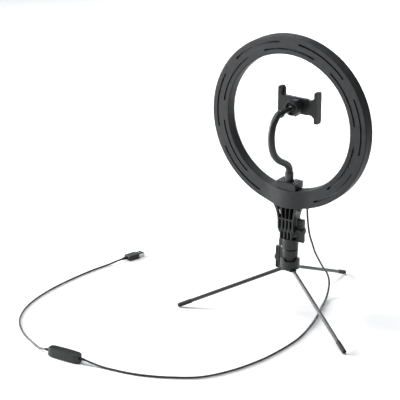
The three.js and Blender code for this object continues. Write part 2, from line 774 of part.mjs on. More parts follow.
function clampBody() {
  const half = CLAMP_H / 2;
  const bar = block(-17, BODY_X + 1, BAR_Y0, BAR_Y1, BALL_Z - half, BALL_Z + half);
  const boss = alongY(rod(9.6, BAR_Y1 - 1, -9.2 + BALL_Y, 32)).translate(0, 0, BALL_Z);
  const deep = ARM_T / 2 + PLAY;
  const tall = ARM_Z + PLAY;
  const channel = block(-30, CHANNEL_X, CLAMP_Y - deep, CLAMP_Y + deep, BALL_Z - tall, BALL_Z + tall);
  const jaw = jawPlate(BODY_X, BODY_X + JAW_T);
  const flares = [-1, 1].map((side) => {
    const s = new THREE.Shape();
    s.moveTo(BODY_X + 1, 0);
    s.lineTo(BODY_X - 7, 0);
    s.bezierCurveTo(BODY_X - 3, 0, BODY_X, side * 2, BODY_X + 1, side * 6);
    s.lineTo(BODY_X + 1, 0);
    return plateXZ(s, BAR_Y0, BAR_Y1, 6).translate(0, 0, BALL_Z + side * (half - 0.4));
  });
  return cut(join(bar, boss, jaw, ...flares), channel);
}

function slidingJaw() {
  const x = -GRIP / 2 - PAD_T - GAP;
  const jaw = jawPlate(x - JAW_T, x);
  const deep = ARM_T / 2;
  const tall = CLAMP_H / 2 - 0.6;
  const arm = block(x - 1, 22, CLAMP_Y - deep, CLAMP_Y + deep, BALL_Z - ARM_Z, BALL_Z + ARM_Z);
  const thick = block(x - 1, -17 - PLAY, BAR_Y0, BAR_Y1, BALL_Z - tall, BALL_Z + tall);
  const flares = [-1, 1].map((side) => {
    const s = new THREE.Shape();
    s.moveTo(x - 1, 0);
    s.lineTo(x + 8, 0);
    s.bezierCurveTo(x + 4, 0, x + 1, side * 2.4, x - 1, side * 7);
    s.lineTo(x - 1, 0);
    const z = BALL_Z + side * (CLAMP_H / 2 - 1);
    return plateXZ(s, BAR_Y0, BAR_Y1, 6).translate(0, 0, z);
  });
  const seat = SPRING_R + PLAY;
  const slot = block(-12, 40, CLAMP_Y - seat, CLAMP_Y + seat, BALL_Z - seat, BALL_Z + seat);
  return cut(join(jaw, arm, thick, ...flares), slot);
}

function jawPad(inner, side) {
  const width = JAW_D - BAR_T - 1.4;
  const pad = plateYZ(roundedRect(width, JAW_H - 5, 2.2), 0, PAD_T, 4);
  const x = side > 0 ? inner : -inner - PAD_T;
  return pad.translate(x, BAR_Y0 - 0.6 - width / 2, BALL_Z);
}

// The spring that pulls the jaws together, as the plain sleeve of its outer size.
function clampSpring() {
  return alongX(rod(SPRING_R, -12 + GAP, CHANNEL_X - GAP, 12)).translate(0, CLAMP_Y, BALL_Z);
}

// ---- Controller on the lead ----
const CONTROL_PLACE = [177.6, 320.6]; // its middle, from the tripod's axis
const CONTROL_TURN = 3; // degrees from the X axis
const CORD_Z = CONTROL_H / 2;
const BUTTON_XS = [-15, -5, 5, 15];
const RELIEF_L = 7;

// The controller's outline: bevelled ends and long sides that bow out a little.
function controllerOutline(inset) {
  const x = CONTROL_L / 2 - inset;
  const y = CONTROL_W / 2 - inset;
  const s = new THREE.Shape();
  s.moveTo(-x, -y + 3);
  s.lineTo(-x + 4, -y + 0.9);
  s.quadraticCurveTo(0, -y - 0.9, x - 4, -y + 0.9);
  s.lineTo(x, -y + 3);
  s.lineTo(x, y - 3);
  s.lineTo(x - 4, y - 0.9);
  s.quadraticCurveTo(0, y + 0.9, -x + 4, y - 0.9);
  s.lineTo(-x, y - 3);
  return s;
}

// Half of the case: side -1 holds the buttons, side 1 the back.
function controllerHalf(side) {
  const edge = 0.8;
  const shape = controllerOutline(edge);
  const options = {
    depth: CONTROL_H - 2 * edge,
    bevelThickness: edge,
    bevelSize: edge,
    bevelSegments: 1,
    curveSegments: 8,
  };
  const whole = new THREE.ExtrudeGeometry(shape, options).translate(0, 0, edge);
  const room = plateXY(controllerOutline(1.6), 1.6, CONTROL_H - 1.6);
  const y0 = side < 0 ? -20 : GAP / 2;
  const keep = block(-40, 40, y0, y0 + 20 - GAP / 2, -1, 20);
  const mouth = alongX(rod(2.2 + GAP, -40, 40, 16)).translate(0, 0, CORD_Z);
  const windows = BUTTON_XS.map((x) => {
    const r = BUTTON_R + PLAY;
    return block(x - r, x + r, -20, -4, CORD_Z - r, CORD_Z + r);
  });
  const half = cut(common(whole, keep), room, mouth);
  return side < 0 ? cut(half, ...windows) : half;
}

function controllerBoard() {
  return block(-19, 19, -2.2, -1, 2.2, CONTROL_H - 2.2);
}

function controllerButton(x) {
  const y = -CONTROL_W / 2;
  const head = turned([
    [0, 0],
    [BUTTON_R + 1, 0],
    [BUTTON_R + 1, 0.9],
    [BUTTON_R, 0.9],
    [BUTTON_R, 3.4],
    [BUTTON_R - 0.5, 3.9],
    [0, 3.9],
  ], 12);
  return head.rotateX(Math.PI / 2).translate(x, y + 3.4, CORD_Z);
}

// A ribbed sleeve around the lead at one end of the controller.
function controllerRelief(side) {
  const start = CONTROL_L / 2 - 2.6;
  const end = CONTROL_L / 2 + RELIEF_L;
  const body = turned([
    [0, start],
    [3, start],
    [3, start + 0.7],
    [2.2, start + 0.7],
    [2.2, CONTROL_L / 2 + 0.6],
    [CORD_R + 0.5, end],
    [0, end],
  ], 16);
  const sleeve = alongX(body).translate(0, 0, CORD_Z);
  return side > 0 ? sleeve : sleeve.rotateZ(Math.PI);
}

// ---- USB plug ----
const PLUG_PLACE = [317.9, -18.4]; // where the moulded grip starts
const PLUG_TURN = 107.3; // heading of the plug's nose, degrees below the X axis towards -X
const PLUG_Z = PLUG_H / 2;
const PLUG_RELIEF = 9;

function plugGrip() {
  const options = {
    depth: PLUG_L - 2,
    bevelThickness: 1,
    bevelSize: 1,
    bevelSegments: 1,
    curveSegments: 5,
  };
  const shape = roundedRect(PLUG_W - 2, PLUG_H - 2, 1.6);
  const grip = new THREE.ExtrudeGeometry(shape, options).translate(0, 0, 1);
  grip.rotateX(Math.PI / 2).rotateZ(Math.PI / 2);
  const relief = alongX(turned([
    [0, -PLUG_RELIEF],
    [CORD_R + 0.5, -PLUG_RELIEF],
    [3.2, 1.2],
    [0, 1.2],
  ], 16));
  const body = join(grip, relief).translate(0, 0, PLUG_Z);
  const tip = block(PLUG_L - 3, PLUG_L + 1, -6 - GAP, 6 + GAP, PLUG_Z - 2.25 - GAP, PLUG_Z + 2.25 + GAP);
  return cut(body, tip);
}

function plugShell() {
  const x0 = PLUG_L - 2.6;
  const x1 = PLUG_L + 11.4;
  const outer = block(x0, x1, -6, 6, PLUG_Z - 2.25, PLUG_Z + 2.25);
  const inner = block(x0 + 1, x1 + 1, -5.6, 5.6, PLUG_Z - 1.9, PLUG_Z + 1.9);
  const windows = [-1, 1].map((side) => {
    return block(PLUG_L + 4, PLUG_L + 6.4, side * 2.9 - 1.1, side * 2.9 + 1.1, PLUG_Z, PLUG_Z + 5);
  });
  return cut(outer, inner, ...windows);
}

function plugTongue() {
  return block(PLUG_L - 1.2, PLUG_L + 10.6, -5.2, 5.2, PLUG_Z - 1.6, PLUG_Z + 0.3);
}

// ---- Lead ----
// The points where a cord meets the controller's sleeves.
function controllerEnd(side) {
  const reach = side * (CONTROL_L / 2 + RELIEF_L + 2 * GAP);
  const turn = CONTROL_TURN * DEG;
  const [x, y] = CONTROL_PLACE;
  return [x + reach * Math.cos(turn), y + reach * Math.sin(turn), CORD_Z];
}

// The point where the cord meets the plug's sleeve.
function plugEnd() {
  const turn = -PLUG_TURN * DEG;
  const reach = -PLUG_RELIEF - 2 * GAP;
  return [PLUG_PLACE[0] + reach * Math.cos(turn), PLUG_PLACE[1] + reach * Math.sin(turn), PLUG_Z];
}

// From the ring down to the table, round the tripod and to the controller.
const LAMP_ROUTE = [
  [EXIT_X, RING_Y, ringBottom(EXIT_X) - GROMMET_L - GAP],
  [-30.8, 3.8, 163],
  [-30.8, 2.4, 154.5],
  [-30.6, -0.5, 141],
  [-30.2, -6, 126],
  [-29.5, -15, 110],
  [-27.2, -27, 92.5],
  [-24.5, -44, 73],
  [-21.4, -62, 54],
  [-19.9, -77, 38.5],
  [-19.4, -83.5, 28],
  [-19.4, -85.5, 20],
  [-20, -84, 13.5],
  [-21.5, -79.5, 8],
  [-23.5, -73.5, 4.2],
  [-25.8, -66.5, 2.1],
  [-28.8, -58.3, 1.6],
  [-36, -36, CORD_R],
  [-45.2, -10.9, CORD_R],
  [-58.1, 37, CORD_R],
  [-65, 82.7, CORD_R],
  [-63.4, 129.9, CORD_R],
  [-57.7, 169.6, CORD_R],
  [-40.5, 223.4, CORD_R],
  [-16.2, 262.6, CORD_R],
  [19, 287.3, CORD_R],
  [46.4, 300.3, CORD_R],
  [67.8, 307.4, CORD_R],
  [91.3, 311.8, CORD_R],
  [112, 314.4, 1.7],
  [128, 316.4, 3.4],
  controllerEnd(-1),
];

// From the controller to the plug.
const USB_ROUTE = [
  controllerEnd(1),
  [224, 319.4, 3.6],
  [236, 313.6, 1.8],
  [250, 306.4, 1.6],
  [265.6, 299, CORD_R],
  [286.1, 285, CORD_R],
  [304.3, 268, CORD_R],
  [318, 250, CORD_R],
  [331.5, 221.9, CORD_R],
  [340.1, 186.9, CORD_R],
  [343.6, 145.2, CORD_R],
  [341.7, 96.4, CORD_R],
  [336.2, 51.1, CORD_R],
  [328.4, 16, 1.7],
  [323.6, -0.5, 3.2],
  plugEnd(),
];

// ---- Assembly ----
add("hub_base", hubBase(), "dark");
add("hub_collar", hubCollar(), "plastic");
add("column", column(), "plastic");
LEG_TURNS.forEach((turn, i) => addLeg(i + 1, turn));
add("lock_screw", lockScrew(), "steel");
add("lock_knob", lockKnob(), "plastic");

add("socket_body", socketBody(), "plastic");
add("pan_stud", panStud(), "steel");
add("tilt_bolt", tiltBolt(), "blackSteel");
add("tilt_knob", tiltKnob(), "plastic");
add("tilt_nut", tiltNut(), "blackSteel");

add("stand_bracket", standBracket(), "dark");
add("bracket_screw_left", bracketScrew(-1), "blackSteel");
add("bracket_screw_right", bracketScrew(1), "blackSteel");
add("rear_casing", rearCasing(), "casing");
add("diffuser", diffuser(), "diffuser");
add("led_board", ledBoard(), "board");
add("driver_board", driverBoard(), "green");
add("cord_grommet", cordGrommet(), "rubber");
add("shoe_block", shoeBlock(), "plastic");

add("neck_lower_ferrule", lowerFerrule(), "blackSteel");
add("gooseneck", tube(smoothCurve(NECK_ROUTE), NECK_R, 12, 30), "neck");
add("neck_upper_ferrule", upperFerrule(), "blackSteel");
add("ball_stud", ballStud(), "steel");
add("ball_cup", ballCup(), "dark");
add("ball_nut", ballNut(), "plastic");

add("clamp_body", clampBody(), "plastic");
add("fixed_jaw_pad", jawPad(GRIP / 2, 1), "rubber");
add("sliding_jaw", slidingJaw(), "plastic");
add("sliding_jaw_pad", jawPad(GRIP / 2, -1), "rubber");
add("clamp_spring", clampSpring(), "steel");

const control = new THREE.Group();
control.position.set(...CONTROL_PLACE, 0);
control.rotation.z = CONTROL_TURN * DEG;
light.add(control);
add("controller_front", controllerHalf(-1), "plastic", control);
add("controller_back", controllerHalf(1), "plastic", control);
add("controller_board", controllerBoard(), "green", control);
BUTTON_XS.forEach((x, i) => add(`button_${i + 1}`, controllerButton(x), "rubber", control));
add("relief_lamp_side", controllerRelief(-1), "rubber", control);
add("relief_usb_side", controllerRelief(1), "rubber", control);

const plug = new THREE.Group();
plug.position.set(...PLUG_PLACE, 0);
plug.rotation.z = -PLUG_TURN * DEG;
light.add(plug);
add("plug_grip", plugGrip(), "rubber", plug);
add("plug_shell", plugShell(), "steel", plug);
add("plug_tongue", plugTongue(), "dark", plug);

add("lead_lamp", tube(smoothCurve(LAMP_ROUTE), CORD_R, 8, 54), "rubber");
add("lead_usb", tube(smoothCurve(USB_ROUTE), CORD_R, 8, 26), "rubber");

export default model;
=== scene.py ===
import json
import math

import bmesh
import bpy
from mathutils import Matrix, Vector
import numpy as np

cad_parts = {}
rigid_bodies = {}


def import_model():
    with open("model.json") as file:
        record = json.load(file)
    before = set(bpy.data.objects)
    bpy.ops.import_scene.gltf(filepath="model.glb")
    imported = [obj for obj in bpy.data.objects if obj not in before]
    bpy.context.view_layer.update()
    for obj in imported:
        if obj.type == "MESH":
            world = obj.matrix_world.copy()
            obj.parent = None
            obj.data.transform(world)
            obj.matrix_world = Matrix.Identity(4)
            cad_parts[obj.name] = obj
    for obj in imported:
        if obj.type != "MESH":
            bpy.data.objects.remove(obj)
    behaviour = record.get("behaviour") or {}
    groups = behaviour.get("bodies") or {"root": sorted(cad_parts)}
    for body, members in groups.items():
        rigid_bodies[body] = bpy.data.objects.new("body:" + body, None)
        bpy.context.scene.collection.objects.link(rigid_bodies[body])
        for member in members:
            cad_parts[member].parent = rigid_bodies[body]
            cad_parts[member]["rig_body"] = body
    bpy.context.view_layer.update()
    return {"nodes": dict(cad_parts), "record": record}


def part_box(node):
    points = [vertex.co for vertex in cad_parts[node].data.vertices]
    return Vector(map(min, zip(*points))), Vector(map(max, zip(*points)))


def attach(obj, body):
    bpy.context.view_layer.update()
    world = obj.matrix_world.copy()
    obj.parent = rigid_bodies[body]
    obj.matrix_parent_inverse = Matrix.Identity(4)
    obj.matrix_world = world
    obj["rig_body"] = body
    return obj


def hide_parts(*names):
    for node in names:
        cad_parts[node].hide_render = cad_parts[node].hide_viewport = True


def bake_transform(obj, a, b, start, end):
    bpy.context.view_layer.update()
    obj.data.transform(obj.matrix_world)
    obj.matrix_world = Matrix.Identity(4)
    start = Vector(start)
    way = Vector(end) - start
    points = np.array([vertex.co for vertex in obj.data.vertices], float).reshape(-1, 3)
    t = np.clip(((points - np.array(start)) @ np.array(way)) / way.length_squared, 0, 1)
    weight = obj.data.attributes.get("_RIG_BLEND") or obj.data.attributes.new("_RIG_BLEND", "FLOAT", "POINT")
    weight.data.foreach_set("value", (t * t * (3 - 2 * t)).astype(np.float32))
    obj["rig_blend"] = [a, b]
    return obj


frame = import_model()

MM = 0.001
UP = Vector((0, 0, 1))


# ---- Places taken from the frame ----
def middle(node):
    low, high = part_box(node)
    return (low + high) / 2


def size(node):
    low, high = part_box(node)
    return high - low


HALF_DEPTH = 9.0 * MM  # half of the ring's depth, without its foot's swelling
RING = middle("led_board")
RING.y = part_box("diffuser")[0].y + HALF_DEPTH
AXIS = middle("pan_stud")
TRIPOD = Vector((AXIS.x, AXIS.y, 0))
BALL = middle("ball_stud")


def at(x, y, z):
    """A point given in millimetres from the foot of the tripod's axis, as in the CAD source."""
    return TRIPOD + Vector((x, y, z)) * MM


# ---- Camera, in millimetres and degrees ----
CAMERA_PLACE = (-1297.41, 2142.42, 1148.95)
CAMERA_PITCH = -21.202
CAMERA_YAW = 34.277
CAMERA_LENS = 163.54
CAMERA_SENSOR = 36


def add_camera():
    data = bpy.data.cameras.new("camera")
    data.sensor_width = CAMERA_SENSOR
    data.lens = CAMERA_LENS
    data.clip_start = 0.05
    data.clip_end = 50
    camera = bpy.data.objects.new("camera", data)
    bpy.context.scene.collection.objects.link(camera)
    pitch = math.radians(CAMERA_PITCH)
    yaw = math.radians(CAMERA_YAW)
    ahead = Vector(
        (math.cos(pitch) * math.sin(yaw), -math.cos(pitch) * math.cos(yaw), math.sin(pitch))
    )
    camera.location = at(*CAMERA_PLACE)
    camera.rotation_mode = "QUATERNION"
    camera.rotation_quaternion = ahead.to_track_quat("-Z", "Y")
    bpy.context.scene.camera = camera


# ---- Mesh tools ----
USUAL_EDGE = 0.25 * MM  # how far hard edges are rounded
HARD = math.radians(32)  # faces that meet at more than this have a hard edge
FLAT = math.radians(0.6)  # faces that meet at less than this are one face
SAME_PLACE = 1e-6  # corners this close, in metres, are one corner
# shading is smooth across edges up to these angles, in degrees
CREASE = 34
TUBE_CREASE = 50
NECK_CREASE = 80
CASING_CREASE = 30
DIFFUSER_CREASE = 40


def piece(name, mesh, body, slot, material, *nodes):
    """A piece that rides on a body and stands for CAD nodes."""
    obj = bpy.data.objects.new(name, mesh)
    bpy.context.scene.collection.objects.link(obj)
    mesh.materials.clear()
    mesh.materials.append(material)
    if body:
        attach(obj, body)
    if nodes:
        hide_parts(*nodes)
    return obj


def mesh_from(name, vertices, faces):
    mesh = bpy.data.meshes.new(name)
    mesh.from_pydata([tuple(v) for v in vertices], [], faces)
    mesh.validate()
    return mesh


def smooth_by_angle(mesh, degrees):
    mesh.shade_smooth()
    mesh.set_sharp_from_angle(angle=math.radians(degrees))


def weigh_normals(obj):
    """Flat faces keep flat shading beside rounded edges."""
    modifier = obj.modifiers.new("normals", "WEIGHTED_NORMAL")
    modifier.keep_sharp = True
    modifier.weight = 80


def loop_grid(rings, closed_along=False):
    """Vertices and quads of a skin over a row of rings of points."""
    across = len(rings[0])
    vertices = [p for ring in rings for p in ring]
    faces = []
    for i in range(len(rings) if closed_along else len(rings) - 1):
        j = (i + 1) % len(rings)
        for k in range(across):
            m = (k + 1) % across
            faces.append((i * across + k, i * across + m, j * across + m, j * across + k))
    return vertices, faces


def capped(rings):
    """Vertices and faces of a closed solid over a row of rings of points."""
    vertices, faces = loop_grid(rings)
    count = len(rings[0])
    last = len(vertices) - count
    faces.append(tuple(range(count))[::-1])
    faces.append(tuple(last + k for k in range(count)))
    return vertices, faces


def joined(solids):
    """The vertices and faces of several solids, as one pair of lists."""
    vertices, faces = [], []
    for more, added in solids:
        faces += [tuple(i + len(vertices) for i in face) for face in added]
        vertices += more
    return vertices, faces


def eased(node, edge):
    """A CAD node's mesh with its triangles merged to faces and its hard edges rounded."""
    mesh = frame["nodes"][node].data.copy()
    mesh.name = node + "_look"
    b = bmesh.new()
    b.from_mesh(mesh)
    bmesh.ops.remove_doubles(b, verts=b.verts, dist=SAME_PLACE)
    bmesh.ops.dissolve_limit(b, angle_limit=FLAT, verts=b.verts, edges=b.edges, delimit=set())
    edges = [e for e in b.edges if e.is_manifold and e.calc_face_angle(0) > HARD]
    if edge > 0 and edges:
        bmesh.ops.bevel(
            b,
            geom=edges,
            offset=edge,
            segments=2,
            profile=0.5,
            affect="EDGES",
            clamp_overlap=True,
        )
    bmesh.ops.triangulate(b, faces=[f for f in b.faces if len(f.verts) > 4])
    b.to_mesh(mesh)
    b.free()
    for name in [a.name for a in mesh.attributes if a.name == "custom_normal"]:
        mesh.attributes.remove(mesh.attributes[name])
    smooth_by_angle(mesh, CREASE)
    return mesh


def body_of(node):
    return frame["nodes"][node]["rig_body"]


def slot_of(node):
    for part in frame["record"]["subparts"]:
        if part["node"] == node:
            return part["material_slot"]


def stand_in(node, mesh, material):
    """A mesh that takes the place of one CAD node, on its body."""
    weigh_normals(piece(node + "_look", mesh, body_of(node), slot_of(node), material, node))


# ---- Smooth lines ----
def smooth_line(points, step):
    """Points every step or so along a centripetal Catmull-Rom curve through the given points."""
    points = [Vector(p) for p in points]
    first = 2 * points[0] - points[1]
    last = 2 * points[-1] - points[-2]
    whole = [first, *points, last]
    line = []
    for p0, p1, p2, p3 in zip(whole, whole[1:], whole[2:], whole[3:]):
        t1 = math.sqrt((p1 - p0).length)
        t2 = t1 + math.sqrt((p2 - p1).length)
        t3 = t2 + math.sqrt((p3 - p2).length)
        count = max(2, round((p2 - p1).length / step))
        for i in range(count):
            t = t1 + (t2 - t1) * i / count
            a1 = p0 * ((t1 - t) / t1) + p1 * (t / t1)
            a2 = p1 * ((t2 - t) / (t2 - t1)) + p2 * ((t - t1) / (t2 - t1))
            a3 = p2 * ((t3 - t) / (t3 - t2)) + p3 * ((t - t2) / (t3 - t2))
            b1 = a1 * ((t2 - t) / t2) + a2 * (t / t2)
            b2 = a2 * ((t3 - t) / (t3 - t1)) + a3 * ((t - t1) / (t3 - t1))
            line.append(b1 * ((t2 - t) / (t2 - t1)) + b2 * ((t - t1) / (t2 - t1)))
    line.append(points[-1])
    return line


def sweep(name, line, radius, sides):
    """A closed tube along a line. radius is a number, or a function of distance and angle."""
    at_radius = radius if callable(radius) else lambda distance, angle: radius
    tangents = [(b - a).normalized() for a, b in zip(line, line[1:])]
    between = [(a + b).normalized() for a, b in zip(tangents, tangents[1:])]
    tangents = [tangents[0], *between, tangents[-1]]
    side = tangents[0].orthogonal().normalized()
    distance = 0
    rings = []
    for i, (point, tangent) in enumerate(zip(line, tangents)):
        if i:
            distance += (point - line[i - 1]).length
        side = (side - tangent * side.dot(tangent)).normalized()
        other = tangent.cross(side)
        ring = []
        for k in range(sides):
            a = 2 * math.pi * k / sides
            r = at_radius(distance, a)
            ring.append(point + (side * math.cos(a) + other * math.sin(a)) * r)
        rings.append(ring)
    mesh = mesh_from(name, *capped(rings))
    smooth_by_angle(mesh, TUBE_CREASE)
    return mesh


# ---- Materials ----
class Nodes:
    """Short calls for building a material's node tree."""

    def __init__(self, name):
        self.material = bpy.data.materials.new(name)
        self.material.use_nodes = True
        self.tree = self.material.node_tree
        self.shader = self.tree.nodes["Principled BSDF"]
        coordinates = self.tree.nodes.new("ShaderNodeTexCoord")
        self.place = coordinates.outputs["Object"]

    def set(self, **values):
        for key, value in values.items():
            self.shader.inputs[key.replace("_", " ")].default_value = value

    def link(self, source, target):
        self.tree.links.new(source, target)

    def feed(self, **sources):
        """Links outputs to the shader's own inputs, named as in set."""
        for key, source in sources.items():
            self.link(source, self.shader.inputs[key.replace("_", " ")])

    def noise(self, scale, detail=2.0, roughness=0.5, stretch=None):
        node = self.tree.nodes.new("ShaderNodeTexNoise")
        node.inputs["Scale"].default_value = scale
        node.inputs["Detail"].default_value = detail
        node.inputs["Roughness"].default_value = roughness
        place = self.place
        if stretch:
            mapping = self.tree.nodes.new("ShaderNodeMapping")
            mapping.inputs["Scale"].default_value = stretch
            self.link(place, mapping.inputs["Vector"])
            place = mapping.outputs["Vector"]
        self.link(place, node.inputs["Vector"])
        return node.outputs["Fac"]

    def cells(self, scale):
        node = self.tree.nodes.new("ShaderNodeTexVoronoi")
        node.inputs["Scale"].default_value = scale
        self.link(self.place, node.inputs["Vector"])
        return node.outputs["Distance"]

    def spread(self, source, low, high, start=0.3, end=0.7):
        """source's values from start to end become low to high."""
        node = self.tree.nodes.new("ShaderNodeMapRange")
        ends = {"From Min": start, "From Max": end, "To Min": low, "To Max": high}
        for key, value in ends.items():
            node.inputs[key].default_value = value
        self.link(source, node.inputs["Value"])
        return node.outputs["Result"]

    def blend(self, factor, first, second):
        node = self.tree.nodes.new("ShaderNodeMix")
        node.data_type = "RGBA"
        node.inputs[6].default_value = (*first, 1)
        node.inputs[7].default_value = (*second, 1)
        self.link(factor, node.inputs[0])
        return node.outputs[2]

    def edges(self):
        """How sharp the surface is: about 0.5 where it's flat, more on outer edges."""
        return self.tree.nodes.new("ShaderNodeNewGeometry").outputs["Pointiness"]

    def bump(self, *layers):
        """Layers of (height, distance in metres, strength), the later on top of the earlier."""
        normal = None
        for height, distance, strength in layers:
            node = self.tree.nodes.new("ShaderNodeBump")
            node.inputs["Distance"].default_value = distance
            node.inputs["Strength"].default_value = strength
            self.link(height, node.inputs["Height"])
            if normal:
                self.link(normal, node.inputs["Normal"])
            normal = node.outputs["Normal"]
        self.link(normal, self.shader.inputs["Normal"])


# Noise scales are in cells per metre, and bump distances in metres.
RUBBED = 0.35 * 0.25  # how much smoother moulded plastic is on its outer edges


def moulded(name, colour, roughness, grain=2600, specular=0.5):
    """Moulded plastic: a fine spark-eroded grain, faint flow marks and rubbed edges."""
    n = Nodes(name)
    dark = tuple(c * 0.88 for c in colour)
    light = tuple(c * 1.12 for c in colour)
    n.set(Specular_IOR_Level=specular, IOR=1.47)
    n.feed(Base_Color=n.blend(n.spread(n.noise(90, 4), 0, 1), dark, light))
    base = n.spread(n.noise(260, 3, 0.6), roughness - 0.05, roughness + 0.06)
    rub = n.spread(n.edges(), 0, -RUBBED, 0.52, 0.62)
    add = n.tree.nodes.new("ShaderNodeMath")
    add.operation = "ADD"
    add.use_clamp = True
    n.link(base, add.inputs[0])
    n.link(rub, add.inputs[1])
    n.feed(Roughness=add.outputs[0])
    n.bump(
        (n.noise(35, 2), 0.0004, 0.06),
        (n.cells(grain), 0.00003, 0.55),
        (n.noise(grain * 1.7, 2), 0.00002, 0.5),
    )
    return n.material


def rubber(name, colour, roughness, grain=3200):
    """Soft rubber: dull and a little dusty, with a fine even grain."""
    n = Nodes(name)
    dusty = tuple(min(1, c * 1.5 + 0.006) for c in colour)
    n.set(Specular_IOR_Level=0.35, Sheen_Weight=0.06, Sheen_Roughness=0.5)
    dust = n.spread(n.noise(140, 5, 0.6), 0, 1, 0.35, 0.8)
    n.feed(Base_Color=n.blend(dust, colour, dusty))
    n.feed(Roughness=n.spread(n.noise(300, 2), roughness - 0.06, roughness + 0.08))
    n.bump((n.noise(60, 3), 0.0002, 0.1), (n.noise(grain, 2), 0.00003, 0.6))
    return n.material


def painted(name, colour, roughness, metal=0.0):
    """Painted or blackened metal, with orange peel and a few brighter rubbed spots."""
    n = Nodes(name)
    rubbed = tuple(min(1, c * 2.2 + 0.02) for c in colour)
    n.set(Metallic=metal, Coat_Weight=0.12, Coat_Roughness=0.25)
    n.feed(Base_Color=n.blend(n.spread(n.edges(), 0, 0.6, 0.53, 0.66), colour, rubbed))
    n.feed(Roughness=n.spread(n.noise(420, 4, 0.7), roughness - 0.07, roughness + 0.08))
    n.bump((n.noise(900, 2), 0.00004, 0.25), (n.noise(2600, 2), 0.00001, 0.4))
    return n.material


def bright_metal(name, colour, roughness, stretch=(1, 1, 1)):
    """Plated steel, with fine drawing marks."""
    n = Nodes(name)
    dull = tuple(c * 0.8 for c in colour)
    n.set(Metallic=1.0)
    n.feed(Base_Color=n.blend(n.spread(n.noise(150, 4), 0, 1), dull, colour))
    marks = n.noise(900, 3, 0.6, stretch)
    n.feed(Roughness=n.spread(marks, roughness - 0.08, roughness + 0.1))
    n.bump((marks, 0.00002, 0.35))
    return n.material


def frosted(name):
    """Milky plastic over the lamps: soft, faintly translucent, with an etched face."""
    n = Nodes(name)
    n.set(Subsurface_Weight=0.25, Subsurface_Radius=(0.004, 0.004, 0.004), Subsurface_Scale=1.0)
    n.set(IOR=1.49)
    clouds = n.spread(n.noise(25, 3), 0, 1)
    n.feed(Base_Color=n.blend(clouds, (0.80, 0.80, 0.775), (0.86, 0.86, 0.845)))
    n.feed(Roughness=n.spread(n.noise(200, 3), 0.42, 0.55))
    n.bump((n.noise(2200, 2), 0.00003, 0.4))
    return n.material


def circuit(name, mask, track):
    """A printed circuit board: lacquer over faintly raised tracks."""
    n = Nodes(name)
    n.set(Specular_IOR_Level=0.5, Coat_Weight=0.3, Coat_Roughness=0.2)
    bricks = n.tree.nodes.new("ShaderNodeTexBrick")
    bricks.inputs["Scale"].default_value = 160
    bricks.inputs["Mortar Size"].default_value = 0.03
    n.link(n.place, bricks.inputs["Vector"])
    n.feed(Base_Color=n.blend(bricks.outputs["Fac"], mask, track))
    n.feed(Roughness=n.spread(n.noise(500, 2), 0.3, 0.42))
    n.bump((bricks.outputs["Fac"], 0.00005, 0.5), (n.noise(1500, 2), 0.00002, 0.3))
    return n.material


CASING = moulded("casing_plastic", (0.036, 0.037, 0.039), 0.50, specular=0.22)
BLACK = moulded("black_plastic", (0.022, 0.023, 0.024), 0.38, grain=3000, specular=0.35)
DEEP = moulded("deep_black_plastic", (0.013, 0.013, 0.014), 0.45, grain=3000)
RUBBER = rubber("soft_rubber", (0.014, 0.014, 0.015), 0.62)
JACKET = rubber("cable_jacket", (0.020, 0.021, 0.022), 0.44, grain=5000)
SLEEVE = rubber("neck_sleeve", (0.020, 0.021, 0.023), 0.36, grain=4000)
TUBE = painted("satin_tube", (0.026, 0.027, 0.029), 0.30)
BLACKENED = painted("black_oxide", (0.045, 0.047, 0.050), 0.33, metal=0.7)
ZINC = bright_metal("zinc_steel", (0.56, 0.57, 0.60), 0.28)
SHELL = bright_metal("plug_steel", (0.50, 0.51, 0.53), 0.24, (1, 8, 8))
FROSTED = frosted("frosted_white")
# painted shade: darker than the record's white, so that the cooling slots look as dark as in the photograph,
# with shade painted on the board behind them
SHADED_BOARD = circuit("lamp_board_painted_shade", (0.10, 0.10, 0.10), (0.16, 0.16, 0.16))
GREEN = circuit("green_board_lacquer", (0.012, 0.075, 0.032), (0.03, 0.16, 0.07))


# ---- Ring ----
RING_R = size("rear_casing").x / 2
HOLE_R = RING_R - 27.2 * MM
REAR = HALF_DEPTH
FRONT = -HALF_DEPTH
LIP = -6.3 * MM  # front edge of the inner wall
WALL = 2.2 * MM
WALL_BACK = 3 * MM  # the walls are straight up to here
EDGE = 1.5 * MM  # radius of the rear edges
FRONT_EDGE = 0.4 * MM
SEAM_D = 0.35 * MM  # the parting line on the outer wall: its depth, and where it starts and ends
SEAM_LOW = -2.2 * MM
SEAM_HIGH = -1.3 * MM
SEAM_SLOPE = 0.2 * MM
BULGE_HALF = 41 * MM
BULGE_D = 5.5 * MM
REAR_STEPS = 9
RING_STEPS = 288
SLOT_W = 2.6 * MM
OUTER_SLOT = RING_R - 8.7 * MM  # radius of the outer row's middle line
INNER_SLOT = HOLE_R + 8.2 * MM
OUTER_SPAN, OUTER_PITCH = 39, 55  # degrees
INNER_SPAN, INNER_PITCH = 43, 60
SLOT_STEPS = 24
SLOT_END_STEPS = 6
CUT_IN = 0.6 * MM  # how far the slots' tool reaches past the rear wall's two faces
CUT_OUT = 1.5 * MM


def bulge_height(x):
    """How far the casing's foot stands out behind the ring's flat rear face."""
    share = min(1.0, abs(x) / BULGE_HALF)
    return BULGE_D * 0.5 * (1 + math.cos(math.pi * share))


def ring_point(radius, depth, angle, swells):
    """angle is 0 at the ring's lowest point. Depth runs backwards from its middle plane."""
    x = radius * math.sin(angle)
    if swells and math.cos(angle) > 0:
        depth += bulge_height(x)
    return RING + Vector((x, depth, -radius * math.cos(angle)))


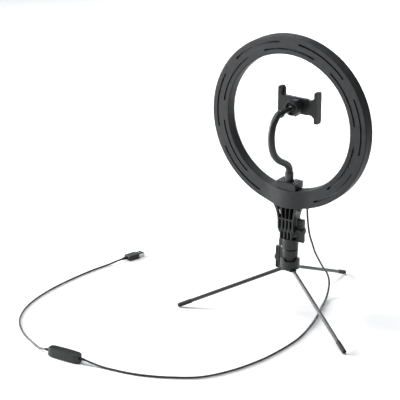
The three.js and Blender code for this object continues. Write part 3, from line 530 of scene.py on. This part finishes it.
def casing_profile():
    """(radius, depth, swells) around the casing's section, from its front lip over the back."""
    arc = [math.radians(a) for a in (0, 22.5, 45, 67.5, 90)]
    points = [(RING_R - FRONT_EDGE, FRONT, False), (RING_R, FRONT + FRONT_EDGE, False)]
    points += [(RING_R, SEAM_LOW, False), (RING_R - SEAM_D, SEAM_LOW + SEAM_SLOPE, False)]
    points += [(RING_R - SEAM_D, SEAM_HIGH - SEAM_SLOPE, False), (RING_R, SEAM_HIGH, False)]
    points.append((RING_R, WALL_BACK, False))
    points += [
        (RING_R - EDGE * (1 - math.cos(a)), REAR - EDGE * (1 - math.sin(a)), True) for a in arc
    ]
    for i in range(1, REAR_STEPS):
        points.append((RING_R - EDGE - (RING_R - HOLE_R - 2 * EDGE) * i / REAR_STEPS, REAR, True))
    points += [
        (HOLE_R + EDGE * (1 - math.cos(a)), REAR - EDGE * (1 - math.sin(a)), True)
        for a in arc[::-1]
    ]
    points += [(HOLE_R, WALL_BACK, False), (HOLE_R, LIP, False)]
    points += [(HOLE_R + WALL, LIP, False), (HOLE_R + WALL, REAR - WALL, False)]
    points += [(RING_R - WALL, REAR - WALL, False), (RING_R - WALL, FRONT, False)]
    return points


def slot_cutter(radius, middle_angle, span):
    """A curved slot with round ends, as a closed solid that reaches through the rear wall."""
    half = SLOT_W / 2
    start = math.radians(middle_angle - span / 2)
    end = math.radians(middle_angle + span / 2)
    outline = []

    def side(r, a0, a1):
        for i in range(SLOT_STEPS + 1):
            a = a0 + (a1 - a0) * i / SLOT_STEPS
            outline.append((r * math.cos(a), r * math.sin(a)))

    def round_end(turn, first):
        for i in range(1, SLOT_END_STEPS):
            a = first + math.pi * i / SLOT_END_STEPS
            x = radius * math.cos(turn) + half * math.cos(a)
            outline.append((x, radius * math.sin(turn) + half * math.sin(a)))

    side(radius + half, start, end)
    round_end(end, end)
    side(radius - half, end, start)
    round_end(start, start + math.pi)
    return capped(
        [
            [RING + Vector((x, depth, z)) for x, z in outline]
            for depth in (REAR - WALL - CUT_IN, REAR + CUT_OUT)
        ]
    )


def cooling_slots():
    cuts = [(OUTER_SLOT, 90 + OUTER_PITCH * (n - 2.5), OUTER_SPAN) for n in range(6)]
    cuts += [(INNER_SLOT, 90 + INNER_PITCH * (n - 2), INNER_SPAN) for n in range(5)]
    return mesh_from("slots", *joined(slot_cutter(*cut) for cut in cuts))


def outward(mesh):
    """mesh, with its faces turned to face outwards."""
    b = bmesh.new()
    b.from_mesh(mesh)
    bmesh.ops.recalc_face_normals(b, faces=b.faces)
    b.to_mesh(mesh)
    b.free()
    return mesh


def carved(mesh, cutter):
    """mesh without cutter's space."""
    body = bpy.data.objects.new("body", outward(mesh))
    tool = bpy.data.objects.new("tool", outward(cutter))
    for obj in (body, tool):
        bpy.context.scene.collection.objects.link(obj)
    modifier = body.modifiers.new("cut", "BOOLEAN")
    modifier.operation = "DIFFERENCE"
    modifier.object = tool
    modifier.solver = "EXACT"
    graph = bpy.context.evaluated_depsgraph_get()
    made = bpy.data.meshes.new_from_object(body.evaluated_get(graph))
    made.name = mesh.name + "_carved"
    bpy.data.objects.remove(body)
    bpy.data.objects.remove(tool)
    return made


def turned(name, profile):
    """A closed section, as (radius, depth, swells) points, taken around the ring."""
    rings = []
    for i in range(RING_STEPS):
        a = 2 * math.pi * i / RING_STEPS
        rings.append([ring_point(r, d, a, s) for r, d, s in profile])
    return mesh_from(name, *loop_grid(rings, closed_along=True))


def add_ring():
    shell = carved(turned("rear_casing_look", casing_profile()), cooling_slots())
    smooth_by_angle(shell, CASING_CREASE)
    casing = piece("rear_casing_look", shell, "head", "casing", CASING, "rear_casing")
    weigh_normals(casing)

    back = LIP - 0.3 * MM
    outer = RING_R - WALL - 0.3 * MM
    inner = HOLE_R + 0.2 * MM
    # (distance from the side wall, distance from the front face) around a front edge
    outer_edge = [(0.9, 0), (0.5, 0.1), (0.15, 0.4), (0, 0.9)]
    inner_edge = [(0, 0.9), (0.15, 0.4), (0.5, 0.1), (0.9, 0)]
    rim = [(outer, back, False), (inner, back, False)]
    rim += [(inner + x * MM, FRONT + y * MM, False) for x, y in inner_edge]
    rim += [(outer - x * MM, FRONT + y * MM, False) for x, y in outer_edge]
    lens = outward(turned("diffuser_look", rim))
    smooth_by_angle(lens, DIFFUSER_CREASE)
    weigh_normals(piece("diffuser_look", lens, "head", "diffuser", FROSTED, "diffuser"))


# ---- Gooseneck ----
NECK_R = 5.2 * MM
GROOVE_D = 0.16 * MM
GROOVE_PITCH = 1.5 * MM
NECK_STEP = 0.3 * MM
NECK_SIDES = 24


def neck_radius(distance, angle):
    """The sleeve has a fine groove that winds around it as a screw's thread does."""
    turn = 2 * math.pi * distance / GROOVE_PITCH + angle
    return NECK_R - GROOVE_D * (0.5 + 0.5 * math.cos(turn)) ** 3


def add_gooseneck():
    shoe_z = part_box("shoe_block")[1].z / MM
    ball_z = BALL.z / MM
    route = [
        (0, 6.5, shoe_z + 14.6),
        (0, 6.9, shoe_z + 18),
        (0, 9.1, shoe_z + 22.5),
        (0, 14, shoe_z + 27.4),
        (0, 23, shoe_z + 32.9),
        (0, 34, shoe_z + 38.9),
        (0, 46, shoe_z + 48.4),
        (0, 54, shoe_z + 60.4),
        (0, 57.3, ball_z - 36),
        (0, 57, ball_z - 22.5),
        (0, 53, ball_z - 11),
        (0, 46.5, ball_z - 4),
        (0, 41, ball_z - 0.25),
        (0, 37.9, ball_z),
    ]
    line = smooth_line([at(*p) for p in route], NECK_STEP)
    ribbed = sweep("gooseneck_look", line, neck_radius, NECK_SIDES)
    smooth_by_angle(ribbed, NECK_CREASE)
    piece("gooseneck_look", ribbed, "neck", "neck", SLEEVE, "gooseneck")


# ---- Leads, in millimetres ----
CORD_R = 1.5
LEAD_STEP = 1.5
LEAD_SIDES = 14
# lead_lamp rides with the head down to BLEND_HIGH under its upper end, and with the socket from
# BLEND_LOW under it
BLEND_LOW = 85
BLEND_HIGH = 4
LAMP_ROUTE = [
    (-30.8, 4.7, 172.797),
    (-30.8, 3.8, 163),
    (-30.8, 2.4, 154.5),
    (-30.6, -0.5, 141),
    (-30.2, -6, 126),
    (-29.5, -15, 110),
    (-27.2, -27, 92.5),
    (-24.5, -44, 73),
    (-21.4, -62, 54),
    (-19.9, -77, 38.5),
    (-19.4, -83.5, 28),
    (-19.4, -85.5, 20),
    (-20, -84, 13.5),
    (-21.5, -79.5, 8),
    (-23.5, -73.5, 4.2),
    (-25.8, -66.5, 2.1),
    (-28.8, -58.3, 1.6),
    (-36, -36, CORD_R),
    (-45.2, -10.9, CORD_R),
    (-58.1, 37, CORD_R),
    (-65, 82.7, CORD_R),
    (-63.4, 129.9, CORD_R),
    (-57.7, 169.6, CORD_R),
    (-40.5, 223.4, CORD_R),
    (-16.2, 262.6, CORD_R),
    (19, 287.3, CORD_R),
    (46.4, 300.3, CORD_R),
    (67.8, 307.4, CORD_R),
    (91.3, 311.8, CORD_R),
    (112, 314.4, 1.7),
    (128, 316.4, 3.4),
    (143.546, 318.815, 6.75),
]
USB_ROUTE = [
    (211.654, 322.385, 6.75),
    (224, 319.4, 3.6),
    (236, 313.6, 1.8),
    (250, 306.4, 1.6),
    (265.6, 299, CORD_R),
    (286.1, 285, CORD_R),
    (304.3, 268, CORD_R),
    (318, 250, CORD_R),
    (331.5, 221.9, CORD_R),
    (340.1, 186.9, CORD_R),
    (343.6, 145.2, CORD_R),
    (341.7, 96.4, CORD_R),
    (336.2, 51.1, CORD_R),
    (328.4, 16, 1.7),
    (323.6, -0.5, 3.2),
    (320.755, -9.234, 3.8),
]


def add_lead(node, route, body):
    line = smooth_line([at(*p) for p in route], LEAD_STEP * MM)
    mesh = sweep(node + "_look", line, CORD_R * MM, LEAD_SIDES)
    return piece(node + "_look", mesh, body, "lead", JACKET, node), line


def add_leads():
    lamp, lamp_line = add_lead("lead_lamp", LAMP_ROUTE, None)
    top = at(*LAMP_ROUTE[0])
    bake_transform(lamp, "socket", "head", top - BLEND_LOW * MM * UP, top - BLEND_HIGH * MM * UP)
    usb, usb_line = add_lead("lead_usb", USB_ROUTE, "socket")
    return lamp, lamp_line, usb, usb_line


# ---- Pieces carved from their CAD shape ----
BOX_FACES = ((0, 1, 3, 2), (4, 6, 7, 5), (0, 4, 5, 1), (2, 3, 7, 6), (0, 2, 6, 4), (1, 5, 7, 3))
WING_HUB = 6.4 * MM  # half of the hub's height, between the two wings
WING_ROOT = 3.4 * MM
WING_RIM = 1.7 * MM
WING_SUNK = 1.0 * MM
WING_EDGE = 0.35 * MM
# the controller's middle and the grip's end, in millimetres, and their headings, in degrees
CONTROLLER = (177.6, 320.6, 6.75)
CONTROLLER_HALF = 26.5
CONTROLLER_TURN = 3
PLUG_START = (317.9, -18.4, 3.8)
PLUG_TURN = -107.3


def box_between(low, high):
    """A closed box between two corners, as vertices and faces."""
    vertices = []
    for x in (low.x, high.x):
        for y in (low.y, high.y):
            vertices += [Vector((x, y, low.z)), Vector((x, y, high.z))]
    return vertices, BOX_FACES


def band(centre, axis, inner, outer, width, sides):
    """A square-edged ring around an axis, as vertices and faces."""
    side = axis.orthogonal().normalized()
    other = axis.cross(side)
    rings = []
    for k in range(sides):
        a = 2 * math.pi * k / sides
        out = side * math.cos(a) + other * math.sin(a)
        rings.append(
            [
                centre + out * inner - axis * width / 2,
                centre + out * outer - axis * width / 2,
                centre + out * outer + axis * width / 2,
                centre + out * inner + axis * width / 2,
            ]
        )
    return loop_grid(rings, closed_along=True)


def bands(centre, axis, places, inner, outer, width, sides=32):
    """Bands at distances from a centre along an axis."""
    return joined(band(centre + axis * s, axis, inner, outer, width, sides) for s in places)


def heading_of(degrees):
    turn = math.radians(degrees)
    return Vector((math.cos(turn), math.sin(turn), 0))


def add_carved(node, material, cutter, edge=USUAL_EDGE):
    mesh = carved(eased(node, edge), mesh_from(node + "_tool", *cutter))
    smooth_by_angle(mesh, CREASE)
    stand_in(node, mesh, material)


def add_wing_knob(node, foot, outward_x, depth, thick):
    """A thumbscrew whose wings have sunken sides between raised rims."""
    low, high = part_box(node)
    centre = (low + high) / 2
    half = (high.z - low.z) / 2
    x0, x1 = sorted((foot + outward_x * WING_ROOT, foot + outward_x * (depth - WING_RIM)))
    sinks = []
    for up in (-1, 1):
        z0, z1 = sorted((centre.z + up * WING_HUB, centre.z + up * (half - WING_RIM)))
        for side in (-1, 1):
            sunk = centre.y + side * (thick / 2 - WING_SUNK)
            y0, y1 = sorted((sunk, centre.y + side * (thick / 2 + MM)))
            sinks.append(box_between(Vector((x0, y0, z0)), Vector((x1, y1, z1))))
    add_carved(node, BLACK, joined(sinks), WING_EDGE)


def add_carved_pieces():
    add_wing_knob("lock_knob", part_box("lock_knob")[0].x, 1, 7.5 * MM, 7 * MM)
    add_wing_knob("tilt_knob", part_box("tilt_knob")[1].x, -1, 12 * MM, 6.5 * MM)
    back = Vector((0, 1, 0))
    nut = bands(BALL, back, (-5.2 * MM, 2.9 * MM), 10.9 * MM, 20 * MM, 0.9 * MM, 64)
    add_carved("ball_nut", BLACK, nut)
    heading = heading_of(CONTROLLER_TURN)
    for node, side in (("relief_lamp_side", -1), ("relief_usb_side", 1)):
        start = at(*CONTROLLER) + heading * side * CONTROLLER_HALF * MM
        grooves = [side * (1.7 + 1.3 * i) * MM for i in range(4)]
        cuts = bands(start, heading, grooves, 1.75 * MM, 4 * MM, 0.6 * MM)
        add_carved(node, RUBBER, cuts, 0)
    grooves = [-(1.6 + 1.5 * i) * MM for i in range(5)]
    heading = heading_of(PLUG_TURN)
    cuts = bands(at(*PLUG_START), heading, grooves, 1.8 * MM, 6 * MM, 0.65 * MM)
    add_carved("plug_grip", RUBBER, cuts, 0.5 * MM)


# ---- The other pieces keep their CAD shape, with rounded edges ----
PLAIN = {
    BLACK: [
        "hub_collar", "column", "socket_body", "stand_bracket", "shoe_block", "ball_cup",
        "clamp_body", "sliding_jaw", "controller_front", "controller_back",
    ],
    DEEP: ["hub_base", "plug_tongue"],
    RUBBER: [
        "leg_foot_1", "leg_foot_2", "leg_foot_3", "cord_grommet", "fixed_jaw_pad",
        "sliding_jaw_pad", "button_1", "button_2", "button_3", "button_4",
    ],
    TUBE: ["leg_tube_1", "leg_tube_2", "leg_tube_3"],
    BLACKENED: [
        "tilt_bolt", "tilt_nut", "bracket_screw_left", "bracket_screw_right",
        "neck_lower_ferrule", "neck_upper_ferrule", "ball_stud",
        "leg_pin_1", "leg_pin_2", "leg_pin_3",
    ],
    ZINC: ["lock_screw", "pan_stud", "clamp_spring"],
    SHELL: ["plug_shell"],
    # the lamp board's dark grey is painted shade, seen through the cooling slots
    SHADED_BOARD: ["led_board"],
    GREEN: ["driver_board", "controller_board"],
}

# how far hard edges are rounded, where it's more than USUAL_EDGE
EDGES = {
    "hub_collar": 0.7 * MM,
    "socket_body": 0.4 * MM,
    "shoe_block": 0.5 * MM,
    "clamp_body": 0.5 * MM,
    "sliding_jaw": 0.5 * MM,
    "controller_front": 0.5 * MM,
    "controller_back": 0.5 * MM,
}


# ---- Studio ----
FLOOR_HALF = 12
FLOOR_Z = -0.4 * MM
SOFT_LIGHT = 0.12
# name, place, width and height, power, colour
LIGHTS = [
    ("key", (1.9, 0.62, 0.7), (0.8, 1.0), 90, (1, 1, 1)),
    ("rim", (0.5, -1.75, 0.45), (0.9, 0.6), 22, (0.90, 0.95, 1)),
    ("top", (0.5, 0.3, 2.2), (1.2, 1.2), 36, (1, 1, 1)),
]


def add_floor():
    n = Nodes("studio_floor")
    clouds = n.spread(n.noise(3, 3), 0, 1)
    n.feed(Base_Color=n.blend(clouds, (0.90, 0.90, 0.90), (0.93, 0.93, 0.93)))
    n.feed(Roughness=n.spread(n.noise(40, 2), 0.8, 0.9))
    corners = [(x * FLOOR_HALF, y * FLOOR_HALF) for x, y in ((-1, -1), (1, -1), (1, 1), (-1, 1))]
    mesh = mesh_from("floor", [Vector((x, y, FLOOR_Z)) for x, y in corners], [(0, 1, 2, 3)])
    mesh.materials.append(n.material)
    floor = bpy.data.objects.new("floor", mesh)
    bpy.context.scene.collection.objects.link(floor)


def add_area(name, place, extent, power, colour):
    """A rectangular light that faces the ring."""
    data = bpy.data.lights.new(name, "AREA")
    data.shape = "RECTANGLE"
    data.size, data.size_y = extent
    data.energy = power
    data.color = colour
    light = bpy.data.objects.new(name, data)
    bpy.context.scene.collection.objects.link(light)
    light.location = place
    light.rotation_mode = "QUATERNION"
    light.rotation_quaternion = (RING - Vector(place)).to_track_quat("-Z", "Y")


def add_lights():
    """A dim even light, three lamps, and white behind everything that the camera sees."""
    world = bpy.data.worlds.new("studio")
    bpy.context.scene.world = world
    world.use_nodes = True
    tree = world.node_tree
    soft = tree.nodes["Background"]
    soft.inputs["Color"].default_value = (0.97, 0.985, 1, 1)
    soft.inputs["Strength"].default_value = SOFT_LIGHT
    backdrop = tree.nodes.new("ShaderNodeBackground")
    backdrop.inputs["Color"].default_value = (1, 1, 1, 1)
    backdrop.inputs["Strength"].default_value = 1.0
    rays = tree.nodes.new("ShaderNodeLightPath")
    mix = tree.nodes.new("ShaderNodeMixShader")
    tree.links.new(rays.outputs["Is Camera Ray"], mix.inputs[0])
    tree.links.new(soft.outputs[0], mix.inputs[1])
    tree.links.new(backdrop.outputs[0], mix.inputs[2])
    tree.links.new(mix.outputs[0], tree.nodes["World Output"].inputs["Surface"])
    for light in LIGHTS:
        add_area(*light)


add_camera()
add_floor()
add_lights()
lamp_lead, lamp_line, usb_lead, usb_line = add_leads()
add_ring()
add_gooseneck()
add_carved_pieces()
for finish, names in PLAIN.items():
    for node_name in names:
        stand_in(node_name, eased(node_name, EDGES.get(node_name, USUAL_EDGE)), finish)

bpy.context.scene.view_settings.view_transform = "Standard"
